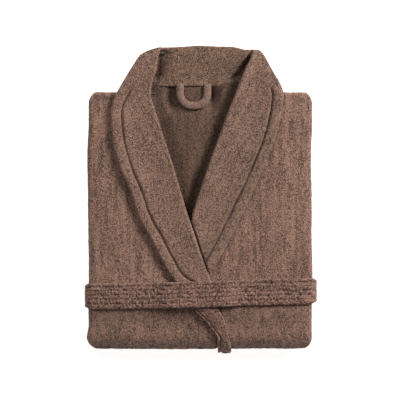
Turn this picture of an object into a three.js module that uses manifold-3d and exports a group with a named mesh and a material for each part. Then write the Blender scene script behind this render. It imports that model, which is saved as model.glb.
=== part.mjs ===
// A towelling bathrobe, folded into a flat pack and held shut by its own tie belt.
// Millimetres. +X is to the right of the pack, +Y runs from the hem fold up to the collar, +Z is up.
import * as THREE from "three";
import { mergeVertices } from "three/addons/utils/BufferGeometryUtils.js";
import Module from "manifold-3d";

const wasm = await Module();
wasm.setup();

// Cloth
const CLOTH = 3.4; // thickness of one layer of terry
const GAP = 0.4; // air between two layers or two pieces
const SIDE_LAYERS = 4; // front, back, back return and front return

// The folded pack
const PACK_WIDTH = 360;
const PACK_LENGTH = 414; // shoulder line to the bottom fold
const SHOULDER_RADIUS = 19;
const BOTTOM_RADIUS = 11;
const SHOULDER_Y = 172;
const INNER_FOLD_SETBACK = 7; // how far the hidden fold stays behind the shoulder line
const HEM_SETBACK = 37; // hem's edge, in from the bottom fold
const RETURN_WIDTH = 108; // side of the body that is folded behind

// Where the two fronts cross
const LEFT_FRONT_EDGE_X = 32; // the left front lies on top
const UNDERLAP = 77; // right front tucked under the left one
const JOGGLE = 16; // width of the step where a layer drops under another

// Shawl collar
const LAPEL_DROP = 303; // shoulder line to the belt's top edge
const COLLAR_RISE = 72; // shoulder line to the collar's rolled top edge
const COLLAR_FALL_REACH = 56; // length of the fall that lies on the rest surface
const NECK_SEAM_RISE = 9; // shoulder line to the neck seam
const STAND_LIFT = 11; // climb of the stand from the neck seam to its roll
const LEFT_TIE_IN = 0.936; // share of the left lapel's drop at which it stops lifting
const RIGHT_TIE_IN = 10; // the right lapel stops lifting this far above the V point

// Tie belt
const BELT_WIDTH = 41.5;
const BELT_THICKNESS = 4.6;
const BELT_TILT = THREE.MathUtils.degToRad(1.4);
const BELT_SIDE_CLEARANCE = 1.8;
const BELT_CENTRE_X = 0.8;
const TAIL_ROOT_WIDTH = 37;
const TAIL_END_WIDTH = 22;
const TAIL_DRIFT = 35; // sideways drift of the tail's left edge from root to knee
const TAIL_WRAP = THREE.MathUtils.degToRad(100); // how far the tail's end goes round the bottom fold

// Sleeves, lying flat inside the pack
const SLEEVE_MARGIN = 21; // from the sleeve to the pack's side and to its middle
const SLEEVE_LAYER = 2.7;
const SLEEVE_SLIT = 0.6; // air inside the flattened sleeve
const SLEEVE_START = 4; // below the shoulder line
const CUFF_LENGTH = 80;

// Small pieces
const POCKET_MARGIN = 15; // from the pocket to the pack's side and to its middle
const POCKET_DEPTH = 180;
const POCKET_THICKNESS = 5;
const POCKET_HEM = 26;
const POCKET_FROM_BELT = 59.2; // from the belt's top edge to the pocket's mouth
const LOOP_WIDTH = 54.5;
const LOOP_LENGTH = 37;
const LOOP_STROKE = 13.5;
const LOOP_CORNER = 26;
const LOOP_THICKNESS = 2.4;
const LOOP_CENTRE_X = -10;
const LOOP_LIFT = 1;
const BELT_LOOP_LENGTH = 55;
const BELT_LOOP_WIDTH = 12;
const BELT_LOOP_THICKNESS = 2.4;
const BELT_LOOP_FROM_CUFF = 4;
const BELT_LOOP_FROM_FOLD = 3;

const ARC_STEPS = 10;
const CURVE_STEPS = 22;
const FAR = 1000; // reaches past every piece

// Sizes that follow
const LAYER = CLOTH + GAP;
const SECTION = SIDE_LAYERS * LAYER;
const WRAP = SECTION - GAP; // depth of the four layers at the sides
const BASE_Z = POCKET_THICKNESS + GAP;
const SLEEVE_THICKNESS = 2 * SLEEVE_LAYER + SLEEVE_SLIT;
const CUFF_THICKNESS = SLEEVE_THICKNESS + 2 * LAYER - GAP;
const SLOT = CUFF_THICKNESS + GAP;
const TOP_Z = BASE_Z + 3 * SECTION + SLOT;
const BOTTOM_Y = SHOULDER_Y - PACK_LENGTH;
const OUTER_FOLD_RADIUS = (TOP_Z - BASE_Z) / 2;
const OUTER_FOLD_Y = BOTTOM_Y + OUTER_FOLD_RADIUS;
const INNER_FOLD_Y = SHOULDER_Y - INNER_FOLD_SETBACK - SECTION;
const SIDE_X = PACK_WIDTH / 2;
const RETURN_END_X = SIDE_X - RETURN_WIDTH;
const UNDERLAP_END_X = LEFT_FRONT_EDGE_X - UNDERLAP;
const JOGGLE_START_X = LEFT_FRONT_EDGE_X + CLOTH + GAP;
const NECK_SEAM_Y = SHOULDER_Y + NECK_SEAM_RISE;
const BACK_TOP_Z = TOP_Z - 2 * LAYER; // inside of the back where both fronts cross
const COLLAR_TOP_Z = TOP_Z + GAP + 2 * CLOTH + GAP;
const COLLAR_THICKNESS = 2 * CLOTH + GAP;
const BELT_TOP_Y = SHOULDER_Y - LAPEL_DROP;
const BELT_Y = BELT_TOP_Y - BELT_WIDTH / 2;
const BELT_LOOP_Y = OUTER_FOLD_Y + BELT_LOOP_FROM_FOLD;
const SLEEVE_END_Y = BELT_LOOP_Y + BELT_LOOP_LENGTH + BELT_LOOP_FROM_CUFF;

// ---------- geometry helpers ----------

function solid(geometry) {
  const bare = new THREE.BufferGeometry().setAttribute("position", geometry.getAttribute("position").clone());
  if (geometry.index) bare.setIndex(geometry.index);
  const merged = mergeVertices(bare, 1e-4);
  const mesh = new wasm.Mesh({
    numProp: 3,
    vertProperties: new Float32Array(merged.attributes.position.array),
    triVerts: new Uint32Array(merged.index.array),
  });
  return new wasm.Manifold(mesh);
}

function geometryOf(manifold) {
  const { vertProperties, triVerts } = manifold.getMesh();
  return new THREE.BufferGeometry()
    .setAttribute("position", new THREE.BufferAttribute(new Float32Array(vertProperties), 3))
    .setIndex([...triVerts])
    .toNonIndexed();
}

// Turns a geometry's faces outwards if its mapping left them facing in.
function faceOut(geometry) {
  const p = geometry.attributes.position;
  const [a, b, c] = [new THREE.Vector3(), new THREE.Vector3(), new THREE.Vector3()];
  let volume = 0;
  for (let i = 0; i < p.count; i += 3) {
    a.fromBufferAttribute(p, i);
    b.fromBufferAttribute(p, i + 1);
    c.fromBufferAttribute(p, i + 2);
    volume += a.dot(b.cross(c));
  }
  if (volume > 0) return geometry;
  for (let i = 0; i < p.count; i += 3) {
    b.fromBufferAttribute(p, i + 1);
    c.fromBufferAttribute(p, i + 2);
    p.setXYZ(i + 1, c.x, c.y, c.z);
    p.setXYZ(i + 2, b.x, b.y, b.z);
  }
  return geometry;
}

// A section carried along a list of stations; place(u, v, station) gives each corner's x, y and z.
function formed(section, stations, place) {
  const steps = stations.length - 1;
  const geometry = new THREE.ExtrudeGeometry(section, { depth: 1, steps, bevelEnabled: false, curveSegments: 8 });
  const p = geometry.attributes.position;
  for (let i = 0; i < p.count; i++) {
    const station = stations[Math.round(p.getZ(i) * steps)];
    p.setXYZ(i, ...place(p.getX(i), p.getY(i), station));
  }
  return faceOut(geometry);
}

// A plan outline extruded upwards from one height to another.
function prism(outline, fromZ, toZ) {
  const geometry = new THREE.ExtrudeGeometry(outline, {
    depth: toZ - fromZ,
    bevelEnabled: false,
    curveSegments: ARC_STEPS,
  });
  return geometry.translate(0, 0, fromZ);
}

function polygon(points) {
  return new THREE.Shape(points.map(([x, y]) => new THREE.Vector2(x, y)));
}

function rectangle(x0, y0, x1, y1) {
  return polygon([[x0, y0], [x1, y0], [x1, y1], [x0, y1]]);
}

// Points of a smooth curve through a few chosen ones.
function smooth(points, steps = CURVE_STEPS) {
  const curve = new THREE.SplineCurve(points.map(([x, y]) => new THREE.Vector2(x, y)));
  return curve.getPoints(steps).map((p) => [p.x, p.y]);
}

const evenly = (from, to, steps) => Array.from({ length: steps + 1 }, (_, i) => from + ((to - from) * i) / steps);

// Everything on one side of a line: the side its normal points to.
function halfPlane([x, y], [nx, ny]) {
  const turn = Math.atan2(ny, nx);
  const box = new THREE.BoxGeometry(FAR, 2 * FAR, 2 * FAR).translate(FAR / 2, 0, 0);
  return solid(box.rotateZ(turn).translate(x, y, 0));
}

// ---------- the roll that folds the body ----------

const STRAIGHT_A = SHOULDER_Y - OUTER_FOLD_Y;
const ARC_A = Math.PI * OUTER_FOLD_RADIUS;
const STRAIGHT_B = INNER_FOLD_Y - OUTER_FOLD_Y;
const ARC_B = Math.PI * SECTION;
const STRAIGHT_C = INNER_FOLD_Y - (BOTTOM_Y + HEM_SETBACK);
const B_START = STRAIGHT_A + ARC_A;
const C_START = B_START + STRAIGHT_B + ARC_B;

// y and z of a point s along the cloth from the shoulder line and d deep from its outside.
function rolled(s, d) {
  if (s < STRAIGHT_A) return [SHOULDER_Y - s, TOP_Z - d];
  if (s < B_START) {
    const turn = (s - STRAIGHT_A) / OUTER_FOLD_RADIUS;
    const radius = OUTER_FOLD_RADIUS - d;
    return [OUTER_FOLD_Y - radius * Math.sin(turn), BASE_Z + OUTER_FOLD_RADIUS + radius * Math.cos(turn)];
  }
  if (s < B_START + STRAIGHT_B) return [OUTER_FOLD_Y + s - B_START, BASE_Z + d];
  if (s < C_START) {
    const turn = (s - B_START - STRAIGHT_B) / SECTION;
    const radius = SECTION - d;
    return [INNER_FOLD_Y + radius * Math.sin(turn), BASE_Z + SECTION - radius * Math.cos(turn)];
  }
  return [INNER_FOLD_Y - (s - C_START), BASE_Z + 2 * SECTION - d];
}

const ROLL_STATIONS = (start) => [
  start,
  ...evenly(STRAIGHT_A, B_START, ARC_STEPS),
  ...evenly(B_START + STRAIGHT_B, C_START, ARC_STEPS),
  C_START + STRAIGHT_C,
];

// A body panel: its section across the robe, carried along the roll.
function panel(section, start = 0) {
  return solid(formed(section, ROLL_STATIONS(start), (x, v, s) => [x, ...rolled(s, -v)]));
}

// Round corners of the pack, seen from above, for every body panel.
function packOutline() {
  const [l, r, b, t] = [-SIDE_X, SIDE_X, BOTTOM_Y - 1, SHOULDER_Y];
  const quarter = Math.PI / 2;
  return new THREE.Shape()
    .absarc(r - SHOULDER_RADIUS, t - SHOULDER_RADIUS, SHOULDER_RADIUS, 0, quarter, false)
    .absarc(l + SHOULDER_RADIUS, t - SHOULDER_RADIUS, SHOULDER_RADIUS, quarter, 2 * quarter, false)
    .absarc(l + BOTTOM_RADIUS, b + BOTTOM_RADIUS, BOTTOM_RADIUS, 2 * quarter, 3 * quarter, false)
    .absarc(r - BOTTOM_RADIUS, b + BOTTOM_RADIUS, BOTTOM_RADIUS, 3 * quarter, 4 * quarter, false);
}

// ---------- collar lines, shared by every piece that meets them ----------

// Each point is x and the share of the lapel's drop below the shoulder line.
const below = ([x, share]) => [x, SHOULDER_Y - share * LAPEL_DROP];
const above = ([x, share]) => [x, SHOULDER_Y + share * COLLAR_RISE];

const LEFT_ROLL_TOP = below([-81, 0]);
const LEFT_ROLL_FOOT = below([14, 0.967]);
const LEFT_ROLL = smooth([[-81, 0], [-55, 0.267], [-32, 0.518], [-7, 0.756], [14, 0.967], [32, 1.13]].map(below));
const LEFT_OUTER = smooth(
  [[-131, 0.001], [-143, 0.09], [-137, 0.267], [-118, 0.472], [-97, 0.673], [-63, 0.888], [-12, 1.07], [30, 1.135]]
    .map(below),
);
const RIGHT_ROLL_TOP = below([58, 0]);
const V_POINT = below([-14, 0.673]);
const RIGHT_ROLL = smooth([[58, 0], [35, 0.19], [14, 0.376], [-14, 0.673]].map(below));
const RIGHT_OUTER = smooth(
  [[132, 0.001], [126, 0.145], [113, 0.304], [91, 0.472], [68, 0.65], [42, 0.81], [19, 0.94]].map(below),
);
const LEFT_SILHOUETTE = smooth([[-131, 0.02], [-111, 0.53], [-97, 0.8], [-82, 0.88], [-66, 0.97]].map(above), 12);
const RIGHT_SILHOUETTE = smooth([[132, 0.02], [110, 0.57], [97, 0.84], [85, 0.93]].map(above), 12);
const LEFT_NECK_TOP = above([-66, 0.97]);
const RIGHT_NECK_TOP = above([85, 0.93]);

function unit([ax, ay], [bx, by]) {
  const length = Math.hypot(bx - ax, by - ay);
  return [(bx - ax) / length, (by - ay) / length];
}

const LEFT_AXIS = unit(LEFT_ROLL_FOOT, LEFT_ROLL_TOP); // points up the left roll line
const RIGHT_AXIS = unit(V_POINT, RIGHT_ROLL_TOP);
const shifted = (points, [nx, ny], by) => points.map(([x, y]) => [x + nx * by, y + ny * by]);

// The right lapel stops a gap short of the left one, which lies on the same level.
const LEFT_ROLL_CLEAR = shifted(LEFT_ROLL, [LEFT_AXIS[1], -LEFT_AXIS[0]], GAP);

const LEFT_COLLAR_PLAN = polygon([
  ...LEFT_ROLL.toReversed(),
  ...LEFT_SILHOUETTE.toReversed(),
  ...LEFT_OUTER,
]);
const RIGHT_COLLAR_PLAN = polygon([
  ...RIGHT_ROLL.toReversed(),
  ...RIGHT_SILHOUETTE.toReversed(),
  ...RIGHT_OUTER,
  below([-14, 0.94]),
]);

// Clear space of the neck: between the two roll lines, down to the V point.
const NECK_PLAN = polygon([
  ...LEFT_ROLL.filter(([, y]) => y > V_POINT[1]).toReversed().map(([x, y]) => [x + GAP, y]),
  [LEFT_ROLL_TOP[0], SHOULDER_Y + FAR / 4],
  [RIGHT_ROLL_TOP[0], SHOULDER_Y + FAR / 4],
  ...RIGHT_ROLL,
]);

// ---------- pieces ----------

function bodyPanels() {
  const centreX = SIDE_X - WRAP / 2;
  const half = Math.PI / 2;
  const outer = WRAP / 2;

  // Both fronts: a flat run, the side fold and the return behind.
  function front(edge) {
    const shape = new THREE.Shape(edge.map(([x, v]) => new THREE.Vector2(x, v)));
    shape.lineTo(-centreX, 0);
    shape.absarc(-centreX, -outer, outer, half, 3 * half, false);
    shape.lineTo(-RETURN_END_X, -WRAP);
    shape.lineTo(-RETURN_END_X, -WRAP + CLOTH);
    shape.lineTo(-centreX, -WRAP + CLOTH);
    shape.absarc(-centreX, -outer, outer - CLOTH, 3 * half, half, true);
    return shape;
  }
  const leftEdge = [[LEFT_FRONT_EDGE_X, -CLOTH], [LEFT_FRONT_EDGE_X, 0]];
  const rightEdge = [
    [-JOGGLE_START_X - JOGGLE, -CLOTH],
    [-JOGGLE_START_X, -LAYER - CLOTH],
    [-UNDERLAP_END_X, -LAYER - CLOTH],
    [-UNDERLAP_END_X, -LAYER],
    [-JOGGLE_START_X, -LAYER],
    [-JOGGLE_START_X - JOGGLE, 0],
  ];

  // The back lies inside both fronts and steps down where they cross.
  const inner = outer - LAYER;
  const step = UNDERLAP_END_X - LAYER;
  const back = new THREE.Shape();
  back.moveTo(RETURN_END_X, -WRAP + LAYER);
  back.lineTo(centreX, -WRAP + LAYER);
  back.absarc(centreX, -outer, inner, -half, half, false);
  back.lineTo(JOGGLE_START_X + JOGGLE, -LAYER);
  back.lineTo(JOGGLE_START_X, -2 * LAYER);
  back.lineTo(step, -2 * LAYER);
  back.lineTo(step - JOGGLE, -LAYER);
  back.lineTo(-centreX, -LAYER);
  back.absarc(-centreX, -outer, inner, half, 3 * half, false);
  back.lineTo(-RETURN_END_X, -WRAP + LAYER);
  back.lineTo(-RETURN_END_X, -WRAP + LAYER + CLOTH);
  back.lineTo(-centreX, -WRAP + LAYER + CLOTH);
  back.absarc(-centreX, -outer, inner - CLOTH, 3 * half, half, true);
  back.lineTo(step - JOGGLE, -LAYER - CLOTH);
  back.lineTo(step, -2 * LAYER - CLOTH);
  back.lineTo(JOGGLE_START_X, -2 * LAYER - CLOTH);
  back.lineTo(JOGGLE_START_X + JOGGLE, -LAYER - CLOTH);
  back.lineTo(centreX, -LAYER - CLOTH);
  back.absarc(centreX, -outer, inner - CLOTH, half, -half, true);
  back.lineTo(RETURN_END_X, -WRAP + LAYER + CLOTH);

  const outline = solid(prism(packOutline(), -1, TOP_Z + 1));
  const neckTab = solid(prism(rectangle(LEFT_ROLL_TOP[0], 0, RIGHT_ROLL_TOP[0], NECK_SEAM_Y), 0, TOP_Z + 1));
  const neck = solid(prism(NECK_PLAN, TOP_Z - LAYER - CLOTH - GAP, TOP_Z + 1));
  const mirrored = (manifold) => manifold.mirror([1, 0, 0]);
  return {
    back_panel: panel(back, -NECK_SEAM_RISE).intersect(outline.add(neckTab)),
    front_left: panel(front(leftEdge)).intersect(outline).subtract(neck),
    front_right: mirrored(panel(front(rightEdge))).intersect(outline).subtract(neck),
  };
}

// The shawl collar: two layers on each chest that lift, and single thick stretches that stay put.
function collarPieces() {
  const pieces = {};
  const levels = { under_collar: TOP_Z + GAP, lapel: TOP_Z + GAP + LAYER };
  const leftFoot = below([10, LEFT_TIE_IN]);
  const [rightFoot] = shifted([V_POINT], RIGHT_AXIS, RIGHT_TIE_IN);
  const rightPlan = solid(prism(RIGHT_COLLAR_PLAN, -1, FAR)).intersect(
    solid(prism(polygon([...LEFT_ROLL_CLEAR, [FAR, -FAR], [FAR, FAR], [LEFT_ROLL_TOP[0], FAR]]), -2, FAR + 1)),
  );
  const sides = {
    left: { plan: solid(prism(LEFT_COLLAR_PLAN, -1, FAR)), axis: LEFT_AXIS, top: LEFT_ROLL_TOP, foot: leftFoot },
    right: { plan: rightPlan, axis: RIGHT_AXIS, top: RIGHT_ROLL_TOP, foot: rightFoot },
  };
  for (const [side, { plan, axis, top, foot }] of Object.entries(sides)) {
    const back = [-axis[0], -axis[1]];
    const slab = (fromZ, thickness) =>
      plan.intersect(solid(prism(rectangle(-FAR, -FAR, FAR, FAR), fromZ, fromZ + thickness)));
    for (const [name, level] of Object.entries(levels))
      pieces[`${name}_${side}`] = slab(level, CLOTH)
        .intersect(halfPlane(top, back))
        .intersect(halfPlane(foot, axis));
    const whole = slab(TOP_Z + GAP, COLLAR_THICKNESS);
    const footCut = [foot[0] + back[0] * GAP, foot[1] + back[1] * GAP];
    const topCut = [top[0] + axis[0] * GAP, top[1] + axis[1] * GAP];
    pieces[`front_band_${side}`] = whole.intersect(halfPlane(footCut, back));
    pieces[`collar_neck_${side}`] = whole.intersect(halfPlane(topCut, axis)).add(neckFall(side));
  }
  pieces.collar_back = collarBack();
  return pieces;
}

// Where the collar folds over beside the neck, its fall goes down behind the shoulders.
function neckFall(side) {
  const edge = side === "left" ? LEFT_SILHOUETTE : RIGHT_SILHOUETTE;
  const [rollTop, neckTop] = side === "left" ? [LEFT_ROLL_TOP, LEFT_NECK_TOP] : [RIGHT_ROLL_TOP, RIGHT_NECK_TOP];
  const [ux, uy] = unit(rollTop, neckTop);
  const outward = side === "left" ? [-uy, ux] : [uy, -ux];
  const inward = edge.map(([x, y]) => {
    const [nx, ny] = unit([x, y], [0, SHOULDER_Y]);
    return [x + nx * COLLAR_THICKNESS, y + ny * COLLAR_THICKNESS];
  });
  const wall = solid(prism(polygon([...edge, ...inward.toReversed()]), 0, COLLAR_TOP_Z - CLOTH));
  return wall.intersect(halfPlane([0, SHOULDER_Y + GAP], [0, 1])).intersect(halfPlane(neckTop, outward));
}

// Back of the collar: the stand rises from the neck seam, rolls over and falls to the rest surface.
function collarBack() {
  const seamY = NECK_SEAM_Y + GAP;
  const rollY = SHOULDER_Y + COLLAR_RISE;
  const standZ = COLLAR_TOP_Z - STAND_LIFT;
  const radius = 16;
  const thick = COLLAR_THICKNESS;
  const half = Math.PI / 2;
  const section = new THREE.Shape();
  section.moveTo(seamY, standZ - thick);
  section.lineTo(rollY - radius, COLLAR_TOP_Z - thick);
  section.absarc(rollY - radius, COLLAR_TOP_Z - radius, radius - thick, half, 0, true);
  section.absarc(rollY - radius, radius, radius - thick, 0, -half, true);
  section.lineTo(rollY - COLLAR_FALL_REACH, thick);
  section.lineTo(rollY - COLLAR_FALL_REACH, 0);
  section.absarc(rollY - radius, radius, radius, -half, 0, false);
  section.absarc(rollY - radius, COLLAR_TOP_Z - radius, radius, 0, half, false);
  section.lineTo(seamY, standZ);
  const whole = solid(formed(section, [-FAR, FAR], (y, z, x) => [x, y, z]));
  const outline = polygon([
    [LEFT_ROLL_TOP[0] + GAP, SHOULDER_Y],
    [RIGHT_ROLL_TOP[0] - GAP, SHOULDER_Y],
    [RIGHT_NECK_TOP[0] - GAP, RIGHT_NECK_TOP[1]],
    [RIGHT_NECK_TOP[0] - GAP, rollY + 1],
    [LEFT_NECK_TOP[0] + GAP, rollY + 1],
    [LEFT_NECK_TOP[0] + GAP, LEFT_NECK_TOP[1]],
  ]);
  return whole.intersect(solid(prism(outline, -1, COLLAR_TOP_Z + 1)));
}

// The belt runs round the whole pack and rises over the collar's crossing.
function belt() {
  const side = SIDE_X + BELT_SIDE_CLEARANCE;
  const low = TOP_Z + GAP;
  const high = COLLAR_TOP_Z + GAP;
  const crown = { fromX: -76, toX: 64, slope: 26 };
  const top = [
    [-side, low],
    [crown.fromX, low],
    [crown.fromX + crown.slope, high],
    [crown.toX - crown.slope, high],
    [crown.toX, low],
    [side, low],
  ];
  const outward = ([x, z]) => [x + Math.sign(x) * (Math.abs(x) === side ? BELT_THICKNESS : 0), z + BELT_THICKNESS];
  const section = polygon([
    [-side - BELT_THICKNESS, 0],
    [side + BELT_THICKNESS, 0],
    ...top.toReversed().map(outward),
  ]);
  section.holes.push(polygon([...top, [side, BELT_THICKNESS], [-side, BELT_THICKNESS]]));
  const ring = formed(section, [-BELT_WIDTH / 2, BELT_WIDTH / 2], (x, z, y) => [x, y, z]);
  return ring.rotateZ(BELT_TILT).translate(BELT_CENTRE_X, BELT_Y, 0);
}

// The belt's free end leaves its lower edge, lies down the front and goes over the bottom fold.
function beltTail() {
  const rootS = SHOULDER_Y - (BELT_Y - BELT_WIDTH / 2) + 3 * GAP;
  const kneeS = STRAIGHT_A + 6;
  const endS = STRAIGHT_A + TAIL_WRAP * OUTER_FOLD_RADIUS;
  const leftEdge = (s) => -8 + TAIL_DRIFT * Math.min(1, (s - rootS) / (kneeS - rootS));
  const width = (s) => THREE.MathUtils.mapLinear(s, rootS, endS, TAIL_ROOT_WIDTH, TAIL_END_WIDTH);
  const stations = [...evenly(rootS, STRAIGHT_A, 4), ...evenly(kneeS, endS, ARC_STEPS)];
  return formed(rectangle(0, 0, 1, 1), stations, (u, v, s) => [
    leftEdge(s) + u * width(s),
    ...rolled(s, -GAP - v * BELT_THICKNESS),
  ]);
}

// Flat tubes seen end on: an outer rectangle with round sides and a slit through it.
function flatTube(width, thickness, layer, slit) {
  const section = new THREE.Shape();
  const reach = (width - thickness) / 2;
  const half = Math.PI / 2;
  section.absarc(-reach, 0, thickness / 2, half, 3 * half, false);
  section.absarc(reach, 0, thickness / 2, -half, half, false);
  const hole = rectangle(-width / 2 + layer, -slit / 2, width / 2 - layer, slit / 2);
  section.holes.push(hole);
  return section;
}

function sleevePieces(sign) {
  const z = BASE_Z + 2 * SECTION + SLOT / 2;
  const x = (sign * SIDE_X) / 2;
  const width = SIDE_X - 2 * SLEEVE_MARGIN;
  const along = (section, from, to) => formed(section, [from, to], (u, v, y) => [x + u, y, z + v]);
  const cuff = flatTube(width + 2 * LAYER, CUFF_THICKNESS, CLOTH, SLEEVE_THICKNESS + 2 * GAP);
  const sleeve = flatTube(width, SLEEVE_THICKNESS, SLEEVE_LAYER, SLEEVE_SLIT);
  return {
    sleeve: along(sleeve, SLEEVE_END_Y, SHOULDER_Y - SLEEVE_START),
    cuff: along(cuff, SLEEVE_END_Y, SLEEVE_END_Y + CUFF_LENGTH),
  };
}

// Patch pockets on the lower front, which faces down in the pack.
function pocketPieces(sign) {
  const x = (sign * SIDE_X) / 2;
  const reach = SIDE_X / 2 - POCKET_MARGIN;
  const mouthY = BELT_TOP_Y + POCKET_FROM_BELT;
  const patch = (fromY, toY) => prism(rectangle(x - reach, fromY, x + reach, toY), 0, POCKET_THICKNESS);
  return {
    pocket_hem: patch(mouthY, mouthY + POCKET_HEM),
    pocket: patch(mouthY + POCKET_HEM + GAP, mouthY + POCKET_DEPTH),
  };
}

// Loops for the belt, on the side seams behind the chest.
function beltLoop(sign) {
  const x = sign * (RETURN_END_X + BELT_LOOP_WIDTH / 2);
  const topZ = TOP_Z - WRAP - GAP;
  const [fromX, toX] = [x - BELT_LOOP_WIDTH / 2, x + BELT_LOOP_WIDTH / 2];
  const strip = rectangle(fromX, BELT_LOOP_Y, toX, BELT_LOOP_Y + BELT_LOOP_LENGTH);
  return prism(strip, topZ - BELT_LOOP_THICKNESS, topZ);
}

// Hanging loop: a U of doubled cloth sewn into the neck seam.
function hangingLoop() {
  const outer = LOOP_WIDTH / 2;
  const inner = outer - LOOP_STROKE;
  const topY = NECK_SEAM_Y - GAP / 2;
  const footY = topY - LOOP_LENGTH;
  const corner = LOOP_CORNER;
  const innerCorner = LOOP_CORNER - LOOP_STROKE;
  const u = new THREE.Shape();
  u.moveTo(-outer, topY);
  u.absarc(-outer + corner, footY + corner, corner, Math.PI, 1.5 * Math.PI, false);
  u.absarc(outer - corner, footY + corner, corner, 1.5 * Math.PI, 2 * Math.PI, false);
  u.lineTo(outer, topY);
  u.lineTo(inner, topY);
  const eyeY = footY + corner;
  u.absarc(inner - innerCorner, eyeY, innerCorner, 0, -Math.PI / 2, true);
  u.absarc(-inner + innerCorner, eyeY, innerCorner, -Math.PI / 2, -Math.PI, true);
  u.lineTo(-inner, topY);
  const fromZ = BACK_TOP_Z + LOOP_LIFT;
  return prism(u, fromZ, fromZ + LOOP_THICKNESS).translate(LOOP_CENTRE_X, 0, 0);
}

// ---------- assembly ----------

const COLOURS = { body: 0x7c6255, inside: 0x644c40, collar: 0x7d6355, belt: 0x73594e, trim: 0x6e564b };

function colourFor(name) {
  if (/back_panel|sleeve/.test(name)) return COLOURS.inside;
  if (/collar|lapel|band|cuff/.test(name)) return COLOURS.collar;
  if (name === "belt" || name === "belt_tail") return COLOURS.belt;
  if (/loop|pocket/.test(name)) return COLOURS.trim;
  return COLOURS.body;
}

const pieces = {
  belt: belt(),
  belt_tail: beltTail(),
  hanging_loop: hangingLoop(),
};
for (const [name, manifold] of Object.entries({ ...bodyPanels(), ...collarPieces() }))
  pieces[name] = geometryOf(manifold);
for (const [side, sign] of [["left", -1], ["right", 1]]) {
  for (const [name, geometry] of Object.entries({ ...sleevePieces(sign), ...pocketPieces(sign) }))
    pieces[`${name}_${side}`] = geometry;
  pieces[`belt_loop_${side}`] = beltLoop(sign);
}

const group = new THREE.Group();
for (const [name, geometry] of Object.entries(pieces)) {
  const material = new THREE.MeshStandardMaterial({ color: colourFor(name), roughness: 0.95, metalness: 0 });
  const mesh = new THREE.Mesh(geometry, material);
  mesh.name = name;
  group.add(mesh);
}

// The origin is the middle of the pack's footprint, on the surface it lies on.
const bounds = new THREE.Box3().setFromObject(group);
const centre = bounds.getCenter(new THREE.Vector3());
for (const mesh of group.children) mesh.position.set(-centre.x, -centre.y, -bounds.min.z);

export default group;
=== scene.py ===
import math

import bmesh
import bpy
import numpy as np
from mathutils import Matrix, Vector


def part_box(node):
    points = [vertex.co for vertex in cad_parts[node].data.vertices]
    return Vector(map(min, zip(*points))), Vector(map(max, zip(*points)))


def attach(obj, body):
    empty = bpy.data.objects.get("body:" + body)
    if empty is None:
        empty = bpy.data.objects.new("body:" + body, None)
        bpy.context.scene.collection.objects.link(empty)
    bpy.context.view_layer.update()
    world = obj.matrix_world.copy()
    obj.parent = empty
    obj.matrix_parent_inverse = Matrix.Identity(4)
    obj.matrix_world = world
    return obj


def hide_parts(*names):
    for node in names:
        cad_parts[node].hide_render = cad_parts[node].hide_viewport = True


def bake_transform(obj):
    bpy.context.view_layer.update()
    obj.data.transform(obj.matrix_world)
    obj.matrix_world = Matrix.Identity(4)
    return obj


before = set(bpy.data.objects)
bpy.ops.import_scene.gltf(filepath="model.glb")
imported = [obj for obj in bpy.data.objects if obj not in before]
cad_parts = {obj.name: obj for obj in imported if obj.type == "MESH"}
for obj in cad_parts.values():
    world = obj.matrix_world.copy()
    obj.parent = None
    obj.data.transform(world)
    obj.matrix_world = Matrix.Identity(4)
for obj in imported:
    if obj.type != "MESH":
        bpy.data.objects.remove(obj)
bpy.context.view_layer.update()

# ---------- the pack's own frame: mm, x from its middle, y with the shoulder line at 172 ----------

MM = 0.001
SHOULDER = 172.0
CLOTH = 3.4  # one layer of terry
LAYER = 3.8  # one layer and the air next to it
COLLAR = 7.2  # the collar's doubled thickness
SEED = 7
BACK_FOLD_INSET = 7.0  # from the shoulder's edge in to the fold behind it
RETURN_WIDTH = 108  # how wide a side is turned behind the chest
HEM_RISE = 37  # from the bottom fold up to the hem
COLLAR_GAP = 0.4


def node_mm(node):
    """Lowest and highest corner of a CAD node, in the pack's own frame."""
    lo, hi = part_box(node)
    shift = np.array([MIDDLE_X, SHOULDER_ROW_Y, 0.0])
    return [(np.array(c) - shift) / MM + [0, SHOULDER, 0] for c in (lo, hi)]


MIDDLE_X = (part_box("front_left")[0].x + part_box("front_right")[1].x) / 2
SHOULDER_ROW_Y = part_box("front_left")[1].y
_front_lo, _front_hi = node_mm("front_left")
SIDE = -_front_lo[0]
BOTTOM = _front_lo[1]
TOP = _front_hi[2]
BASE = _front_lo[2]
WRAP = 4 * LAYER - (LAYER - CLOTH)  # depth of the four layers at a side fold
SECTION = 4 * LAYER
FOLD_R = (TOP - BASE) / 2
FOLD_Y = BOTTOM + FOLD_R
BACK_FOLD_Y = node_mm("front_right")[1][1] - BACK_FOLD_INSET - SECTION
RETURN_X = SIDE - RETURN_WIDTH
HEM_Y = BOTTOM + HEM_RISE
COLLAR_Z = TOP + COLLAR_GAP  # underside of the collar


# ---------- noise and curves ----------

NOISE_ORIGIN = 1000.0  # keeps every cell's number positive


def lattice(ix, iy, iz):
    """A repeatable number from 0 to 1 for each whole-number place."""
    h = (ix * 73856093) ^ (iy * 19349663) ^ (iz * 83492791) ^ (SEED * 2654435761)
    h = (h ^ (h >> 13)) * 1274126177
    return ((h ^ (h >> 16)) & 0xFFFFFF) / float(0xFFFFFF)


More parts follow.
